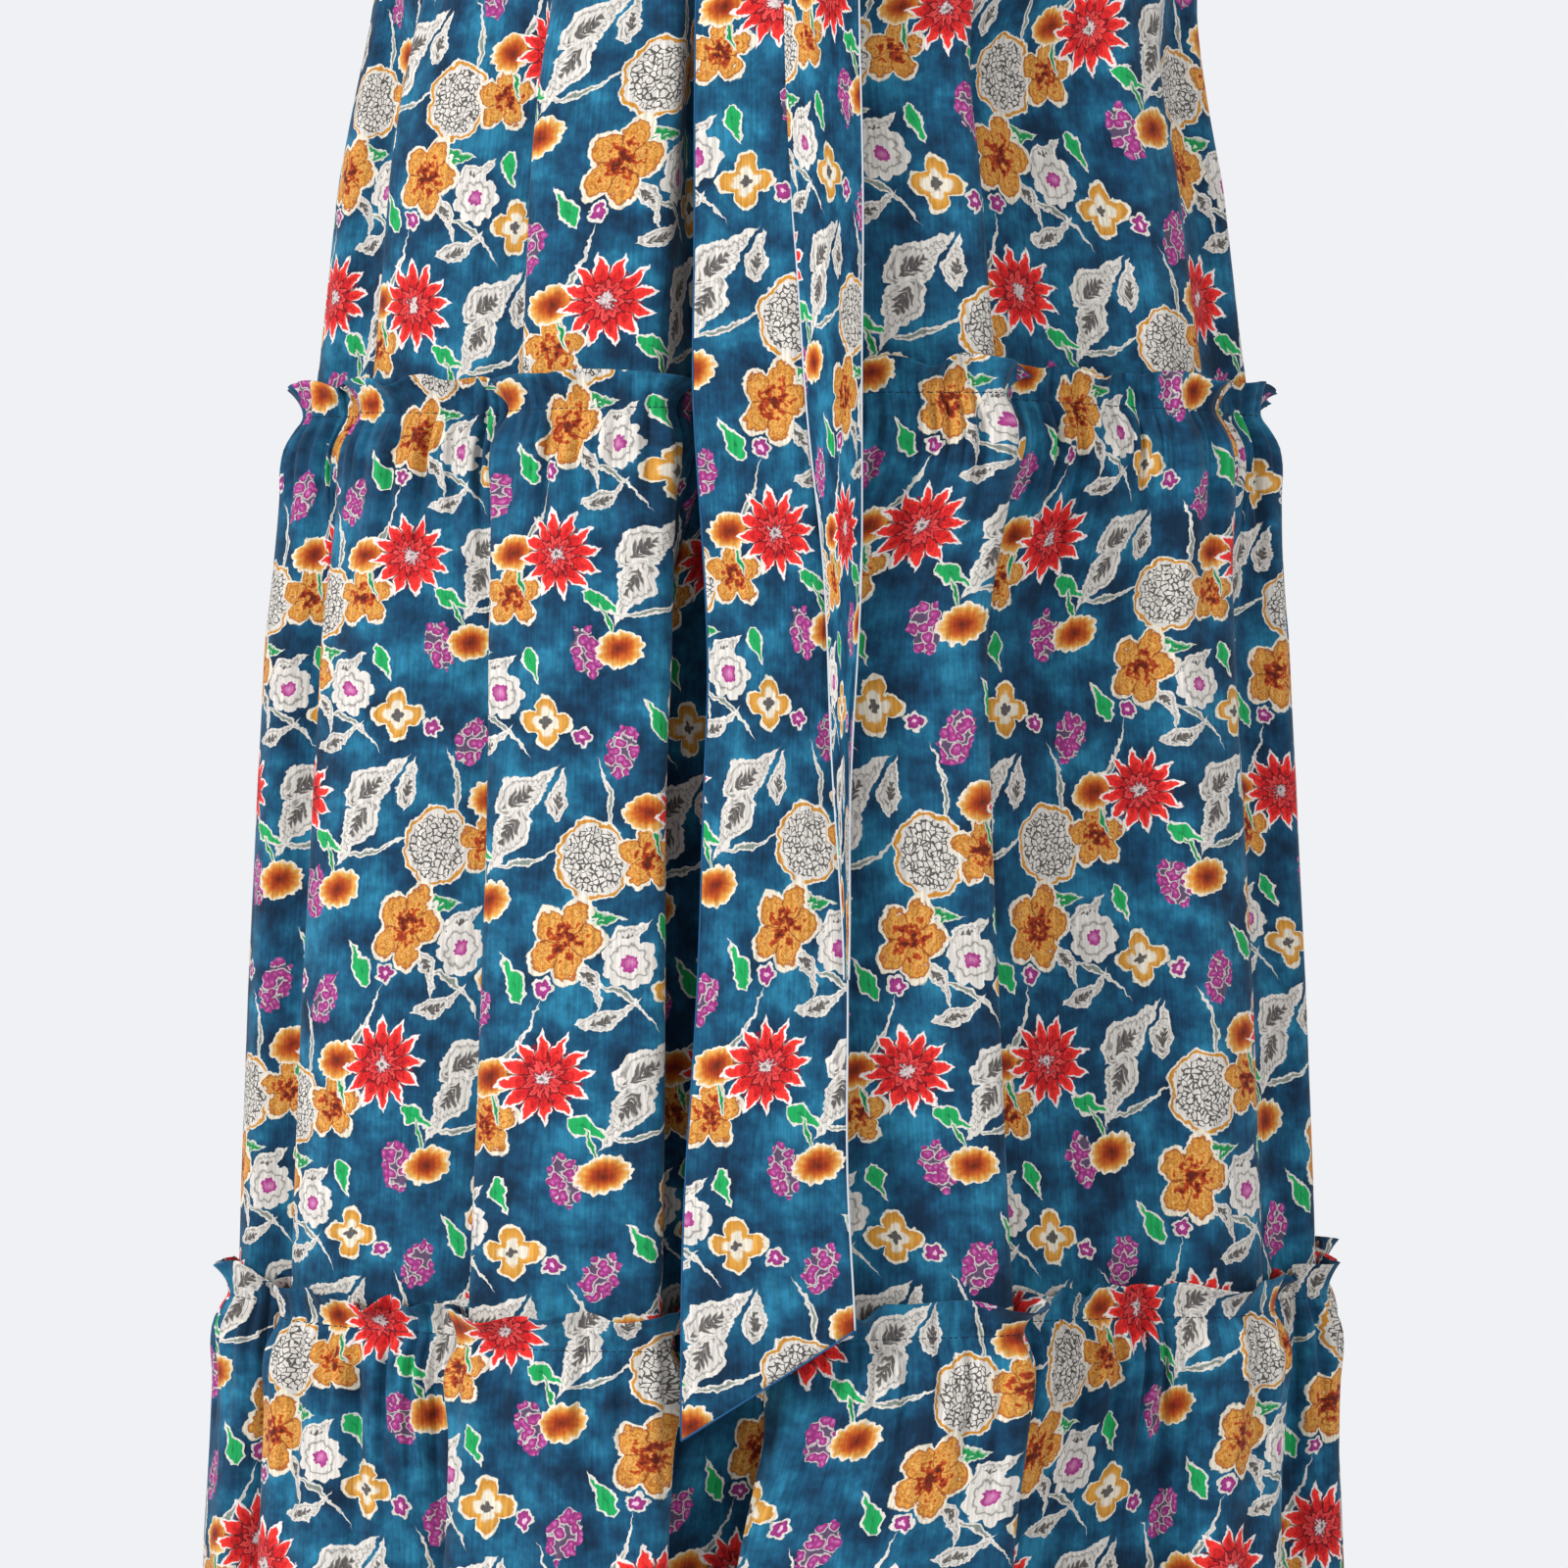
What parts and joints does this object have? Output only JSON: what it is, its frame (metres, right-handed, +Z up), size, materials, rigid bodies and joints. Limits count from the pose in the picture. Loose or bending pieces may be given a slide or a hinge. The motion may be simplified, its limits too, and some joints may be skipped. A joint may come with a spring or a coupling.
{
  "type": "tiered maxi dress",
  "caption": "Sleeveless ankle-length dress in blue floral crinkle chiffon, with a gathered three-tier skirt, frilled headings at the seams and a tie sash with two hanging ends.",
  "frame": {"origin": "midway between the shoulders at the height of the shoulder seams' neck ends, where the wearer's shoulders hold the dress", "axes": "+Z up along the dress, -Y out of the front, +X towards the right of someone who looks at the front"},
  "size_m": [0.5595, 0.5255, 1.4033],
  "materials": {
    "printed_crepe": "matte crinkle chiffon with a floral print",
    "printed_crepe_sash": "matte crinkle chiffon with a floral print"
  },
  "bodies": {
    "root": {"bodice_front": "printed_crepe", "bodice_back": "printed_crepe", "upper_tier_front": "printed_crepe", "upper_tier_back": "printed_crepe", "middle_tier_front": "printed_crepe", "middle_tier_back": "printed_crepe", "lower_tier_front": "printed_crepe", "lower_tier_back": "printed_crepe", "sash_band": "printed_crepe_sash", "sash_knot": "printed_crepe_sash", "sash_end_under": "printed_crepe_sash", "sash_end_over": "printed_crepe_sash"}
  },
  "joints": []
}
